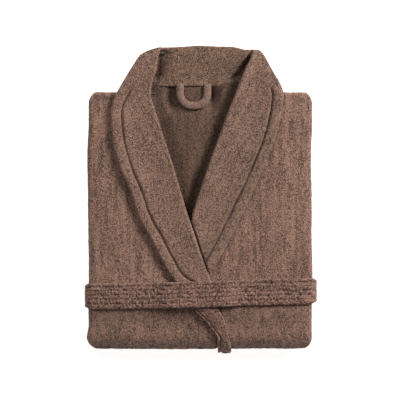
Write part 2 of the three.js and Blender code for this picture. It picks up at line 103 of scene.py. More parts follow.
def noise(points, size):
    """Smooth noise from -1 to 1; size is the width of one lump in mm, one number or one per axis."""
    p = points / np.asarray(size, float) + NOISE_ORIGIN
    cell = np.floor(p).astype(np.int64)
    f = p - cell
    f = f * f * (3 - 2 * f)
    total = np.zeros(points.shape[:-1])
    for dx in (0, 1):
        for dy in (0, 1):
            for dz in (0, 1):
                weight = np.abs(1 - dx - f[..., 0]) * np.abs(1 - dy - f[..., 1]) * np.abs(1 - dz - f[..., 2])
                total += weight * lattice(cell[..., 0] + dx, cell[..., 1] + dy, cell[..., 2] + dz)
    return 2 * total - 1


def ease(t):
    t = np.clip(t, 0, 1)
    return t * t * (3 - 2 * t)


def bell(t):
    return np.exp(-(t ** 2))


def through(points, t):
    """A smooth curve through a few points, at t from 0 to 1 (Catmull-Rom)."""
    pts = np.asarray(points, float)
    ends = [2 * pts[0] - pts[1], *pts, 2 * pts[-1] - pts[-2]]
    pts = np.array(ends)
    x = np.clip(np.asarray(t, float), 0, 1) * (len(pts) - 3)
    i = np.minimum(x.astype(int), len(pts) - 4)
    f = (x - i)[..., None]
    a, b, c, d = pts[i], pts[i + 1], pts[i + 2], pts[i + 3]
    return 0.5 * (2 * b + (c - a) * f + (2 * a - 5 * b + 4 * c - d) * f**2 + (3 * b - a - 3 * c + d) * f**3)


def distance_to(points, line):
    """Plan distance from each point to a polyline."""
    flat = points[..., :2].reshape(-1, 2)
    best = np.full(len(flat), 1e9)
    for a, b in zip(line[:-1], line[1:]):
        ab = b - a
        t = np.clip(((flat - a) @ ab) / max(ab @ ab, 1e-9), 0, 1)
        best = np.minimum(best, np.hypot(*(flat - a - t[:, None] * ab).T))
    return best.reshape(points.shape[:-1])


# ---------- how the whole pack settles ----------

SAG = 4.5  # how far the chest section drops at its sides
SAG_FROM = 118.0
SAG_BEYOND = 12  # how far outside the pack's side the sag would end
FOOT_DROP, FOOT_FROM, FOOT_RUN = 11.5, -164.0, 52  # the chest's slope down to the bottom fold
UPPER_FROM, UPPER_FADE = 30, 22  # heights over which the pack starts to sag
FLATTER = 0.25  # the uneven lie changes this much as fast with height
SWELLS = ((1.3, 74, 0), (0.45, 23, 31))  # height, width and shift of each part of the uneven lie
SWELLS_FULL = 24  # height at which it is full
SIDE_SWAY = (1.6, 61, 57)  # likewise, for the outline's sides
SIDE_SWAY_FULL = 120
END_SWAY = (1.3, 83, 91)  # likewise, for its ends
BULGE, BULGE_Y, BULGE_LENGTH = 4.5, -226, 15  # the bottom fold swells at the viewer's left
BULGE_FROM, BULGE_FADE = 120, 50


def settle(p):
    """The soft lie of the cloth, the same for every piece, so that layers stay layers."""
    out = p.copy()
    x, y, z = p[..., 0], p[..., 1], p[..., 2]
    upper = ease((z - UPPER_FROM) / UPPER_FADE)
    out[..., 2] -= SAG * ease((np.abs(x) - SAG_FROM) / (SIDE - SAG_FROM + SAG_BEYOND)) * upper
    out[..., 2] -= FOOT_DROP * ease((FOOT_FROM - y) / FOOT_RUN) * upper
    plan = p * [1, 1, FLATTER]
    for height, size, shift in SWELLS:
        out[..., 2] += height * noise(plan + shift, size) * ease(z / SWELLS_FULL)
    sway, size, shift = SIDE_SWAY
    out[..., 0] += sway * noise(plan * [0, 1, 1] + shift, size) * ease(np.abs(x) / SIDE_SWAY_FULL)
    out[..., 0] -= BULGE * bell((y - BULGE_Y) / BULGE_LENGTH) * ease((-x - BULGE_FROM) / BULGE_FADE)
    sway, size, shift = END_SWAY
    out[..., 1] += sway * noise(plan * [1, 0, 1] + shift, size)
    return out


def to_row(p):
    q = settle(p) - [0, SHOULDER, 0]
    return q * MM + [MIDDLE_X, SHOULDER_ROW_Y, 0.0]


# ---------- meshes ----------

def make_object(name, verts, faces, material):
    mesh = bpy.data.meshes.new(name)
    mesh.from_pydata(verts.tolist(), [], faces.tolist())
    mesh.validate()
    mesh.update()
    mesh.shade_smooth()
    mesh.materials.append(material)
    obj = bpy.data.objects.new(name, mesh)
    bpy.context.scene.collection.objects.link(obj)
    return obj


def grid_faces(rows, cols, wrap):
    r = np.arange(rows if wrap else rows - 1)[:, None]
    c = np.arange(cols - 1)[None, :]
    a, b = r * cols + c, ((r + 1) % rows) * cols + c
    return np.stack([a, b, b + 1, a + 1], -1).reshape(-1, 4)


def normals(p, wrap):
    if wrap:
        du = np.roll(p, -1, 0) - np.roll(p, 1, 0)
    else:
        du = np.gradient(p, axis=0)
    n = np.cross(du, np.gradient(p, axis=1))
    return n / np.maximum(np.linalg.norm(n, axis=-1, keepdims=True), 1e-9)


def edge_distance(p, wrap, sides):
    """How far each grid point lies from the cloth's own cut edges, along the cloth."""
    rows = np.linalg.norm(np.diff(p, axis=0), axis=-1)
    cols = np.linalg.norm(np.diff(p, axis=1), axis=-1)
    far = np.full(p.shape[:2], 1e9)
    zero_r, zero_c = np.zeros((1, p.shape[1])), np.zeros((p.shape[0], 1))
    from_start_r = np.concatenate([zero_r, np.cumsum(rows, 0)])
    from_start_c = np.concatenate([zero_c, np.cumsum(cols, 1)], 1)
    if not wrap and "u0" in sides:
        far = np.minimum(far, from_start_r)
    if not wrap and "u1" in sides:
        far = np.minimum(far, from_start_r[-1:] - from_start_r)
    if "v0" in sides:
        far = np.minimum(far, from_start_c)
    if "v1" in sides:
        far = np.minimum(far, from_start_c[:, -1:] - from_start_c)
    return far


UP, DOWN = (0, 0, 1), (0, 0, -1)
ALL_SIDES = ("u0", "u1", "v0", "v1")
THINNEST = 0.02  # what is left, squared, of the thickness at a cut edge
PILE = ((1.0, 4.0, 0), (0.35, 8.5, 17))  # share, size and shift of each part of the pile's unevenness


def cloth(name, p, thick, material, wrap=False, sides=ALL_SIDES, rim=None, relief=None, pile=0.3, facing=UP):
    """A closed sheet around the grid of points p. Its cut edges are rounded, and the side that looks
    along facing carries relief, which is an array of mm, and the pile's own unevenness."""
    rim = rim or thick / 2
    n = normals(p, wrap)
    furthest = np.unravel_index(np.argmax(p @ np.array(facing, float)), p.shape[:2])
    if n[furthest] @ facing < 0:
        n = -n
    e = edge_distance(p, wrap, sides)
    roundness = np.sqrt(np.clip(1 - (1 - np.clip(e / rim, 0, 1)) ** 2, THINNEST, 1))
    half = thick / 2 * roundness
    up = half + (0 if relief is None else relief * roundness)
    up = up + pile * roundness * sum(share * noise(p + shift, size) for share, size, shift in PILE)
    outer = p + n * up[..., None]
    inner = p - n * half[..., None]
    rows, cols = p.shape[:2]
    front = grid_faces(rows, cols, wrap)
    back = front[:, ::-1] + rows * cols
    index = np.arange(rows * cols).reshape(rows, cols)
    if wrap:
        loops = [np.append(index[:, 0], index[0, 0])[::-1], np.append(index[:, -1], index[0, -1])]
    else:
        loops = [np.concatenate([index[0, :], index[1:, -1], index[-1, -2::-1], index[-2::-1, 0]])]
    rims = []
    for loop in loops:
        a, b = loop[:-1], loop[1:]
        rims.append(np.stack([b, a, a + rows * cols, b + rows * cols], -1))
    faces = np.concatenate([front, back, *rims])
    verts = np.concatenate([outer.reshape(-1, 3), inner.reshape(-1, 3)])
    obj = make_object(name, to_row(verts), faces, material)
    face_out(obj)
    return obj


def face_out(obj):
    bm = bmesh.new()
    bm.from_mesh(obj.data)
    bmesh.ops.recalc_face_normals(bm, faces=bm.faces)
    if bm.calc_volume(signed=True) < 0:
        bmesh.ops.reverse_faces(bm, faces=bm.faces)
    bm.to_mesh(obj.data)
    bm.free()


def stitches(name, runs, length, pitch, radius, material):
    """Short round stitches along each run of points; one mesh."""
    ring = 6  # sides of one stitch
    verts, faces = [], []
    for run in runs:
        run = np.asarray(run, float)
        steps = np.linalg.norm(np.diff(run, axis=0), axis=1)
        along = np.concatenate([[0], np.cumsum(steps)])
        for s in np.arange(pitch / 2, along[-1] - length, pitch):
            ends = [np.array([np.interp(s + k * length, along, run[:, i]) for i in range(3)])
                    for k in (0, 0.5, 1)]
            axis = ends[2] - ends[0]
            axis /= np.linalg.norm(axis)
            side = np.cross(axis, [0, 0, 1] if abs(axis[2]) < 0.9 else [1, 0, 0])
            side /= np.linalg.norm(side)
            up = np.cross(axis, side)
            start = len(verts)
            for c, r in zip(ends, (0.45, 1.0, 0.45)):
                for k in range(ring):
                    turn = 2 * math.pi * k / ring
                    verts.append(c + radius * r * (side * math.cos(turn) + up * math.sin(turn)))
            for j in range(2):
                for k in range(ring):
                    a, b = start + j * ring + k, start + j * ring + (k + 1) % ring
                    faces.append((a, b, b + ring, a + ring))
            faces.append(tuple(range(start, start + ring))[::-1])
            faces.append(tuple(range(start + 2 * ring, start + 3 * ring)))
    mesh = bpy.data.meshes.new(name)
    mesh.from_pydata(to_row(np.array(verts)).tolist(), [], faces)
    mesh.validate()
    mesh.shade_smooth()
    mesh.materials.append(material)
    obj = bpy.data.objects.new(name, mesh)
    bpy.context.scene.collection.objects.link(obj)
    face_out(obj)
    return obj


# ---------- materials ----------

TUFTS, LOOPS, FINE_PILE, WALES, PATCHES = 500, 540, 1200, 165, 26  # texture scales
WALE_STRETCH = 12.0
TUFT_TONE, LOOP_TONE, GAP_TONE, PATCH_TONE = 1.1, 0.34, 0.25, 0.2
MIDDLE_TONE = 0.68  # what those tones come to on average, without rows
TONE_SPREAD = 0.17
DARKER, LIGHTER = 0.60, 0.72  # of the colour, at the two ends of the spread
GAP_DEPTH, FINE_DEPTH, WALE_DEPTH = 0.7, 0.35, 1.2  # in the bump, where a tuft counts for 1
BUMP_STRENGTH, BUMP_DISTANCE = 0.75, 0.0022


def terry(name, colour, rows=(0.0, 0.0), contrast=1.0, grain=1.0):
    """Cotton terry: loops of pile, uneven tufts and rows of wales that run along the angle rows[0],
    as strong as rows[1]."""
    material = bpy.data.materials.new(name)
    material.use_nodes = True
    nodes, links = material.node_tree.nodes, material.node_tree.links
    shader = nodes["Principled BSDF"]
    place = nodes.new("ShaderNodeTexCoord")

    def tex(kind, scale, stretch=1.0, turn=0.0, **values):
        """A texture whose lumps are stretched that many times along the direction turned from y."""
        mapping = nodes.new("ShaderNodeMapping")
        mapping.vector_type = "TEXTURE"
        mapping.inputs["Rotation"].default_value = (0, 0, turn)
        mapping.inputs["Scale"].default_value = (1, stretch, 1)
        links.new(place.outputs["Object"], mapping.inputs["Vector"])
        node = nodes.new(kind)
        node.inputs["Scale"].default_value = scale
        for key, value in values.items():
            node.inputs[key].default_value = value
        links.new(mapping.outputs["Vector"], node.inputs["Vector"])
        return node

    def math_node(op, a, b):
        node = nodes.new("ShaderNodeMath")
        node.operation = op
        for socket, value in zip(node.inputs, (a, b)):
            if isinstance(value, (int, float)):
                socket.default_value = value
            else:
                links.new(value, socket)
        return node.outputs[0]

    tufts = tex("ShaderNodeTexNoise", TUFTS * grain, Detail=2.0, Roughness=0.6)
    loops = tex("ShaderNodeTexVoronoi", LOOPS * grain)
    fine = tex("ShaderNodeTexNoise", FINE_PILE, Detail=2.0)
    wales = tex("ShaderNodeTexNoise", WALES, stretch=WALE_STRETCH, turn=rows[0], Detail=1.0)
    patches = tex("ShaderNodeTexNoise", PATCHES, Detail=2.0)

    shade = math_node("MULTIPLY", tufts.outputs["Fac"], TUFT_TONE)
    shade = math_node("ADD", shade, math_node("MULTIPLY", loops.outputs["Color"], LOOP_TONE))
    shade = math_node("SUBTRACT", shade, math_node("MULTIPLY", loops.outputs["Distance"], GAP_TONE))
    shade = math_node("ADD", shade, math_node("MULTIPLY", wales.outputs["Fac"], rows[1]))
    shade = math_node("ADD", shade, math_node("MULTIPLY", patches.outputs["Fac"], PATCH_TONE))
    average = MIDDLE_TONE + 0.5 * rows[1]
    shade = math_node("ADD", shade, 0.5 - average)
    ramp = nodes.new("ShaderNodeValToRGB")
    low, high = ramp.color_ramp.elements
    low.position, high.position = 0.5 - TONE_SPREAD, 0.5 + TONE_SPREAD
    low.color = (*[c * (1 - DARKER * contrast) for c in colour], 1)
    high.color = (*[c * (1 + LIGHTER * contrast) for c in colour], 1)
    links.new(shade, ramp.inputs["Fac"])
    links.new(ramp.outputs["Color"], shader.inputs["Base Color"])

    gaps = math_node("MULTIPLY", loops.outputs["Distance"], GAP_DEPTH)
    height = math_node("SUBTRACT", tufts.outputs["Fac"], gaps)
    height = math_node("ADD", height, math_node("MULTIPLY", fine.outputs["Fac"], FINE_DEPTH))
    height = math_node("ADD", height, math_node("MULTIPLY", wales.outputs["Fac"], rows[1] * WALE_DEPTH))
    bump = nodes.new("ShaderNodeBump")
    bump.inputs["Strength"].default_value = BUMP_STRENGTH
    bump.inputs["Distance"].default_value = BUMP_DISTANCE
    links.new(height, bump.inputs["Height"])
    links.new(bump.outputs["Normal"], shader.inputs["Normal"])
    shader.inputs["Roughness"].default_value = 0.95
    shader.inputs["Specular IOR Level"].default_value = 0.12
    shader.inputs["Sheen Weight"].default_value = 0.12
    shader.inputs["Sheen Roughness"].default_value = 0.6
    return material


BODY = terry("body_terry", (0.188, 0.107, 0.077), rows=(0.0, 0.42))
# The back's inside is the same terry as the body, given about half its colour: painted shade for the recess
# it shows in at the neck and in the V.
INSIDE_PAINTED_SHADE = terry("inside_terry", (0.096, 0.054, 0.036), rows=(0.0, 0.25), contrast=0.9)
LAPEL_L = terry("collar_terry_left", (0.177, 0.102, 0.073), rows=(math.radians(28), 0.2))
LAPEL_R = terry("collar_terry_right", (0.170, 0.099, 0.071), rows=(math.radians(-26), 0.2))
STAND = terry("collar_terry_back", (0.172, 0.101, 0.068), rows=(math.radians(90), 0.15))
BELT = terry("belt_terry", (0.157, 0.086, 0.064), rows=(math.radians(90), 0.2), contrast=1.1, grain=0.75)
TAPE = terry("loop_terry", (0.200, 0.121, 0.088), rows=(0.0, 0.15), contrast=0.7, grain=1.4)
POCKET = terry("pocket_terry", (0.188, 0.107, 0.077), rows=(0.0, 0.42))
THREAD = terry("thread", (0.12, 0.07, 0.052), contrast=0.4, grain=3.0)


# ---------- the roll that folds the body ----------

SHOULDER_STOPS, BOTTOM_FOLD_STOPS, BACK_FOLD_STOPS = 7, 36, 16


def stations(fine, coarse):
    """Stops down the cloth, as distances from the shoulder fold, and the lengths of its stretches."""
    straight = SHOULDER - WRAP / 2 - FOLD_Y
    arc = math.pi * FOLD_R
    low = BACK_FOLD_Y - FOLD_Y
    back_arc = math.pi * SECTION
    hem = BACK_FOLD_Y - HEM_Y
    marks = [np.linspace(0, straight, int(straight / fine))]
    marks.append(straight + np.linspace(0, arc, BOTTOM_FOLD_STOPS)[1:])
    marks.append(straight + arc + np.linspace(0, low, int(low / coarse))[1:])
    marks.append(straight + arc + low + np.linspace(0, back_arc, BACK_FOLD_STOPS)[1:])
    marks.append(straight + arc + low + back_arc + np.linspace(0, hem, int(hem / coarse))[1:])
    return np.concatenate(marks), (straight, arc, low, back_arc)


def roll(x, height, reach, fine=2.0, coarse=11.0):
    """Carries a section of the robe, x and height above the section's middle, along the roll."""
    marks, (straight, arc, low, back_arc) = stations(fine, coarse)
    middle = WRAP / 2
    fold = np.linspace(math.pi / 2, 0, SHOULDER_STOPS)[:-1]
    depth = middle - height
    rows = []
    for angle in fold:
        rows.append((SHOULDER - middle + reach * math.sin(angle), TOP - middle + height * math.cos(angle)))
    for s in marks:
        if s <= straight:
            y, z = SHOULDER - middle - s, TOP - depth
        elif s <= straight + arc:
            a = (s - straight) / FOLD_R
            y, z = FOLD_Y - (FOLD_R - depth) * math.sin(a), BASE + FOLD_R + (FOLD_R - depth) * math.cos(a)
        elif s <= straight + arc + low:
            y, z = FOLD_Y + s - straight - arc, BASE + depth
        elif s <= straight + arc + low + back_arc:
            a = (s - straight - arc - low) / SECTION
            radius = SECTION - depth
            y, z = BACK_FOLD_Y + radius * math.sin(a), BASE + SECTION - radius * math.cos(a)
        else:
            y, z = BACK_FOLD_Y - (s - straight - arc - low - back_arc), BASE + 2 * SECTION - depth
        rows.append((y, z))
    grid = np.zeros((len(height), len(rows), 3))
    for j, (y, z) in enumerate(rows):
        grid[:, j, 0] = x
        grid[:, j, 1] = y
        grid[:, j, 2] = z
    return grid


CORNER = 19.0  # radius of the pack's corners, seen from above
CORNER_LEAST = 0.06  # what is left, squared, of a corner's width at its end


def round_corners(grid):
    """Rounds the pack's four corners as seen from above."""
    for end, sign in ((SHOULDER, 1), (BOTTOM, -1)):
        inside = (grid[..., 1] - (end - sign * CORNER)) * sign / CORNER
        f = np.sqrt(np.clip(1 - np.clip(inside, 0, 1) ** 2, CORNER_LEAST, 1))
        x = grid[..., 0]
        edge = SIDE - CORNER
        beyond = np.maximum(np.abs(x) - edge, 0)
        grid[..., 0] = np.sign(x) * (np.minimum(np.abs(x), edge) + beyond * f)
    return grid


TURN_STOPS, RETURN_STOPS = 10, 9


def side_section(layer, fine=2.0):
    """Half a section, for x > 0: from the middle out to the side fold and back behind."""
    reach = WRAP / 2 - layer * LAYER - CLOTH / 2
    side_x = SIDE - WRAP / 2
    flat = np.linspace(0, side_x, int(side_x / fine))
    turn = np.linspace(0, math.pi, TURN_STOPS)[1:-1]
    back = np.linspace(side_x, RETURN_X, RETURN_STOPS)
    x = np.concatenate([flat, side_x + reach * np.sin(turn), back])
    h = np.concatenate([np.full(len(flat), reach), reach * np.cos(turn), np.full(len(back), -reach)])
    return x, h, reach, len(flat)


# ---------- collar lines: pairs of points, the roll edge and the free edge across from it ----------

LEFT_PAIRS = [
    ((-62, 243.5), (-68, 243)), ((-64, 237), (-83, 238.5)), ((-66, 230), (-95, 232.5)),
    ((-68, 222), (-102, 224)),
    ((-70, 206), (-112, 208)), ((-77, 187), (-131, 176)),
    ((-79, 165), (-142, 150)), ((-72, 142), (-143.5, 122)), ((-60, 105), (-138, 88)), ((-45, 62), (-127, 50)),
    ((-33, 20), (-113, 15)), ((-21, -20), (-97, -31)), ((-9, -55), (-79, -64)), ((2.5, -90), (-61, -99)),
    ((13, -119), (-42, -130)), ((22, -143), (-12, -152)), ((30, -164), (22, -166)),
]
RIGHT_PAIRS = [
    ((83, 239), (89, 239)), ((82, 232), (97, 236.5)), ((79, 223), (104, 227)), ((75, 214), (109, 217)),
    ((70, 203), (114, 208)), ((62, 184), (131, 176)),
    ((53, 160), (131, 148)), ((42, 133), (125, 118)), ((31, 102), (116, 84)), ((19, 70), (105, 55)),
    ((7, 36), (91, 24)), ((-4, 3), (76, -8)), ((-13, -30), (56, -48)), ((-5, -60), (44, -71)),
    ((4, -88), (31, -95)), ((14.5, -118), (18, -116)),
]


LEFT_LINE = through([pair[0] for pair in LEFT_PAIRS], np.linspace(0, 1, 120))
RIGHT_LINE = through([pair[0] for pair in RIGHT_PAIRS], np.linspace(0, 1, 120))


def roll_edge_x(pairs, y, y_from):
    """x of a collar's roll edge at each y, for y going down from y_from."""
    line = through([pair[0] for pair in pairs], np.linspace(0, 1, 300))
    line = line[line[:, 1] < y_from]
    return np.interp(-y, -line[:, 1], line[:, 0])


CHEST_DEPTH = 12  # from the top down, still the chest section
LEFT_EDGE_X, RIGHT_EDGE_X = -27.0, -45.0  # a front's edge below the collar; minus is past the middle
LEFT_ROLL, RIGHT_ROLL = (243, -150), (239, -34)  # the y between which an edge follows the collar's roll
COVERED = 5  # how far it stays back from the roll
JOGGLE_X, JOGGLE_RUN = -6, 62  # the step down under the left front: where, and how long
CHEST_STOP = 20  # a stop on the chest, where the outer side looks up


def front_edge(grid, pairs, between, side, below):
    """A front's edge at each stop, counted outwards from the middle."""
    y = grid[0, :, 1]
    along_roll = (grid[0, :, 2] > TOP - CHEST_DEPTH) & (y > between[1])
    return np.where(along_roll, side * roll_edge_x(pairs, y, between[0]) + COVERED, below)


def from_edge(x, edge):
    """x of the flat stops when they start at a front's edge instead of the middle."""
    side_x = SIDE - WRAP / 2
    share = np.clip(x / side_x, 0, 1)
    return edge[None, :] + (side_x - edge[None, :]) * share[:, None]


def front_left():
    x, h, reach, flat = side_section(0)
    grid = roll(-x, h, reach)
    grid[:flat, :, 0] = -from_edge(x[:flat], front_edge(grid, LEFT_PAIRS, LEFT_ROLL, -1, LEFT_EDGE_X))
    return round_corners(grid[::-1])


def joggle(x):
    return LAYER * (1 - ease((x - JOGGLE_X) / JOGGLE_RUN))


def front_right():
    x, h, reach, flat = side_section(0)
    grid = roll(x, h, reach)
    grid[:flat, :, 0] = from_edge(x[:flat], front_edge(grid, RIGHT_PAIRS, RIGHT_ROLL, 1, RIGHT_EDGE_X))
    drop = joggle(grid[:flat, :, 0])
    n = normals(grid, False)[:flat]
    n *= np.sign(n[len(n) // 2, CHEST_STOP, 2])
    grid[:flat] -= n * drop[..., None]
    return round_corners(grid)


BACK_STEP = 2.4
BACK_DROP_X, BACK_DROP_RUN = -78, 26  # where the back drops beside the left front
BACK_DEPTH = 16  # from the top down, still the upper part of the back
NECK_LEFT, NECK_RIGHT, NECK_FADE = -96, 62, 14
NECK_RISE, NECK_RUN = 24, 60  # how far the neck's middle is drawn up, and from how far down


def back_panel():
    x, h, reach, _ = side_section(1, BACK_STEP)
    xs = np.concatenate([-x[::-1], x[1:]])
    hs = np.concatenate([h[::-1], h[1:]])
    grid = roll(xs, hs, reach, BACK_STEP)
    middle = (hs > reach - 0.01) & (np.abs(xs) < SIDE - WRAP / 2)
    drop = ease((xs - BACK_DROP_X) / BACK_DROP_RUN) * joggle(xs)
    n = normals(grid, False)
    n *= np.sign(n[len(n) // 2, CHEST_STOP, 2])
    grid -= n * (drop * middle)[:, None, None]
    neck = ease((xs - NECK_LEFT) / NECK_FADE) * (1 - ease((xs - NECK_RIGHT) / NECK_FADE)) * middle
    upper = grid[..., 2] > TOP - BACK_DEPTH
    top_rows = np.clip(1 - (SHOULDER - grid[..., 1]) / NECK_RUN, 0, 1) * upper
    grid[..., 1] += neck[:, None] * NECK_RISE * top_rows
    grid[..., 2] -= hollow(grid) * neck[:, None] * upper
    return round_corners(grid)


# Middle, size and depth of the places where the inside of the back sinks.
HOLLOWS = [((-46, 164), (12, 18), 11.3), ((19, 163), (10.5, 20), 13.5), ((-4, -12), (18, 48), 15.0)]
OVER_SLEEVE = 7.5  # how far the back can sink before it presses a sleeve down
TROUGH, TROUGH_WIDTH = 7.0, 14  # the back sinks beside the collar's roll
TROUGH_Y, TROUGH_FADE = -80, 60  # and from here up


def hollow(grid):
    """How far the inside of the back sinks beside the loop and at the foot of the neck."""
    depth = np.zeros(grid.shape[:-1])
    for middle, size, deep in HOLLOWS:
        off = (grid[..., :2] - middle) / size
        depth = np.maximum(depth, deep * np.exp(-(off ** 2).sum(-1)))
    beside = np.minimum(distance_to(grid, LEFT_LINE), distance_to(grid, RIGHT_LINE))
    trough = TROUGH * bell(beside / TROUGH_WIDTH) * ease((grid[..., 1] - TROUGH_Y) / TROUGH_FADE)
    return np.maximum(depth, trough)


def collar_strip(pairs, rows, across):
    v = np.linspace(0, 1, rows)
    inner = through([pair[0] for pair in pairs], v)
    outer = through([pair[1] for pair in pairs], v)
    u = np.linspace(0, 1, across)
    plan = inner[None] + (outer - inner)[None] * u[:, None, None]
    grid = np.concatenate([plan, np.zeros(plan.shape[:2] + (1,))], -1)
    return grid, inner, outer


GROOVE = 17.5  # from the collar's free edge in to its stitched groove
GROOVE_LIMIT = 2.0 - COLLAR  # the deepest a groove can be and leave cloth under it
GROOVE_DEPTH = {"left": 4.0, "right": 6.2}
GROOVE_WIDTH, GROOVE_WANDER = 1.6, 1.1
CHEST_FADE = 12  # from the neck seam down to where the grooves are full
INNER_LIFT, INNER_RUN = 3.2, 13  # how far the collar stands up at its roll, and how fast that fades
OUTER_LIFT, OUTER_RUN = 2.4, 14  # likewise at its free edge
LOOSE_Y, LOOSE_FADE = -125, 34  # below here the free edge lies down
BORDER_PUFF, BORDER_Y, BORDER_FADE = 1.6, -140, 24
INSIDE_PUFF, INSIDE_PUFF_AT, INSIDE_PUFF_WIDTH = 0.8, 6, 4  # the swelling on the groove's other side


def collar_heights(grid, inner, outer, groove_depth):
    """Height of the collar's middle surface, which lifts at both edges, and its relief, which is a
    stitched groove with a puffed border outside it."""
    to_inner, to_outer = distance_to(grid, inner), distance_to(grid, outer)
    y = grid[..., 1]
    chest = ease((SEAM_Y - y) / CHEST_FADE)
    loose = chest * ease((y - LOOSE_Y) / LOOSE_FADE)
    lift = INNER_LIFT * np.exp(-to_inner / INNER_RUN) + OUTER_LIFT * np.exp(-to_outer / OUTER_RUN) * loose
    uneven = 1 + 0.4 * noise(grid + 3, 28.0)
    from_groove = to_outer - GROOVE + GROOVE_WANDER * noise(grid + 61, 17.0)
    groove = -groove_depth * uneven * bell(from_groove / GROOVE_WIDTH) * chest
    rounded = np.sin(math.pi * np.clip(to_outer / GROOVE, 0, 1)) ** 0.8
    border = BORDER_PUFF * rounded * chest * ease((y - BORDER_Y) / BORDER_FADE)
    beside = INSIDE_PUFF * bell((to_outer - GROOVE - INSIDE_PUFF_AT) / INSIDE_PUFF_WIDTH) * chest
    groove = np.maximum(groove, GROOVE_LIMIT)
    return COLLAR_Z + COLLAR / 2 + lift, groove + border + beside + 0.6 * noise(grid + 11, 30.0)


UNDER_DROP, UNDER_RUN, UNDER_REACH = 2.6, 7, 30  # the right lapel dips where the left one crosses it
NECK_LIFT, NECK_LIFT_RUN = 3.6, 10  # the right lapel's roll stands higher beside the neck
NECK_LIFT_FROM, NECK_LIFT_TO = (110, 50), (205, 30)  # y and fade of that lift's two ends
TOP_DROP, TOP_DROP_Y, TOP_DROP_RUN = 2.2, 196, 46  # the collar falls a little towards its top


def collar_halves(side, pairs, material, split):
    """One side of the collar in two lengths, cut at the share split of its rows."""
    rows, across = 260, 84
    grid, inner, outer = collar_strip(pairs, rows, across)
    grid[..., 2], relief = collar_heights(grid, inner, outer, GROOVE_DEPTH[side])
    y = grid[..., 1]
    if side == "right":
        beside = np.minimum(distance_to(grid, LEFT_LINE), UNDER_REACH)
        grid[..., 2] -= UNDER_DROP * np.exp(-beside / UNDER_RUN) * (y < 0)
        (low, low_fade), (high, high_fade) = NECK_LIFT_FROM, NECK_LIFT_TO
        beside_neck = ease((y - low) / low_fade) * (1 - ease((y - high) / high_fade))
        grid[..., 2] += NECK_LIFT * np.exp(-distance_to(grid, inner) / NECK_LIFT_RUN) * beside_neck
    grid[..., 2] -= TOP_DROP * ease((y - TOP_DROP_Y) / TOP_DROP_RUN)
    cut = int(split * rows)
    halves = []
    for part, rows_of, sides in (("upper", slice(0, cut + 1), ("u0", "u1", "v0")),
                                 ("lower", slice(cut, rows), ("u0", "u1", "v1"))):
        halves.append(cloth(f"collar_{side}_{part}", grid[:, rows_of], COLLAR, material, sides=sides,
                            rim=3.4, relief=relief[:, rows_of], pile=0.4))
    return halves


# Top edge of the rolled collar, from the viewer's left to right.
ROLL_TOP = [(-90, 234), (-66, 243), (-38, 243.5), (-2, 246), (26, 244.5), (53, 243.5), (71, 239), (86, 239),
            (100, 232)]
CREASE = [(84, 235), (73, 222), (62, 210), (51, 196), (41, 182)]
CREASE_RUN = 9  # over how far the stand sinks beyond the crease
SEAM_Y = 181.0
STAND_SINK, STAND_SINK_WIDTH = 13.0, 14
STAND_LOW, STAND_RISE = 7.2, 11.3  # the stand starts this far below the pack's top, and comes up this much
STAND_ROLL = 0.84  # the share of its height at which it starts to roll over
PLEAT, PLEAT_AT, PLEAT_WIDTH = 2.6, 3.4, 1.2  # a pleat's depth, its distance from the crease, and its width
PLEAT_Y, PLEAT_FADE = 203, 10


def collar_stand():
    x = np.linspace(-92, 96, 150)
    q = np.linspace(0, 1, 60)
    top = np.interp(x, *np.array(ROLL_TOP).T)
    grid = np.zeros((len(x), len(q), 3))
    grid[..., 0] = x[:, None]
    grid[..., 1] = SEAM_Y + (top[:, None] - SEAM_Y) * q[None, :]
    crease = distance_to(grid, through(CREASE, np.linspace(0, 1, 40)))
    crease_xs, crease_ys = np.array(CREASE[::-1], float).T
    crease_x = np.interp(grid[..., 1], crease_ys, crease_xs)
    beyond = ease((grid[..., 0] - crease_x + CREASE_RUN) / CREASE_RUN)
    sunk = STAND_SINK * (beyond + bell(distance_to(grid, LEFT_LINE) / STAND_SINK_WIDTH))
    within = (ease(q * 3) * (1 - ease((q - STAND_ROLL) / (1 - STAND_ROLL))))[None, :]
    grid[..., 2] = (TOP - STAND_LOW + STAND_RISE * ease(q * 1.05))[None, :] - sunk * within
    grid[..., 2] -= 0.9 * hollow(grid) * (1 - ease(q * 2.2))
    pleats = -PLEAT * bell((crease - PLEAT_AT) / PLEAT_WIDTH) * within
    pleats = pleats * ease((grid[..., 1] - PLEAT_Y) / PLEAT_FADE)
    return grid, pleats + 0.9 * noise(grid, (46, 30, 40))


SILHOUETTE = [(-137, 166), (-127, 180), (-109, 210), (-94, 227), (-66, 238), (-22, 240), (26, 240), (71, 235),
              (92, 230), (109, 210), (126, 180), (134, 166)]


FALL_INSET, FALL_WAIST, FALL_FLARE = 3.0, 3.5, 2.5  # how far the fall stays inside the outline
FALL_Y, FALL_FADE = 168, 8  # it reaches the floor only behind the pack, above this line
FALL_FOOT, FALL_SHORT = 4.0, 14  # its foot's height there, and how short it stops elsewhere


def collar_fall():
    t = np.linspace(0, 1, 150)
    line = through(SILHOUETTE, t)
    h = np.linspace(0, 1, 26)
    tangent = np.gradient(line, axis=0)
    inward = np.stack([tangent[:, 1], -tangent[:, 0]], -1)
    inward /= np.linalg.norm(inward, axis=1, keepdims=True)
    grid = np.zeros((len(t), len(h), 3))
    tuck = FALL_INSET + FALL_WAIST * np.sin(h * math.pi) ** 2 - FALL_FLARE * (1 - h)
    grid[..., :2] = line[:, None] + inward[:, None] * (tuck[None, :, None])
    behind = ease((line[:, 1] - FALL_Y) / FALL_FADE)
    low = FALL_FOOT + (TOP - FALL_SHORT) * (1 - behind)
    grid[..., 2] = low[:, None] + (COLLAR_Z + 1.0 - low)[:, None] * h[None, :]
    return grid


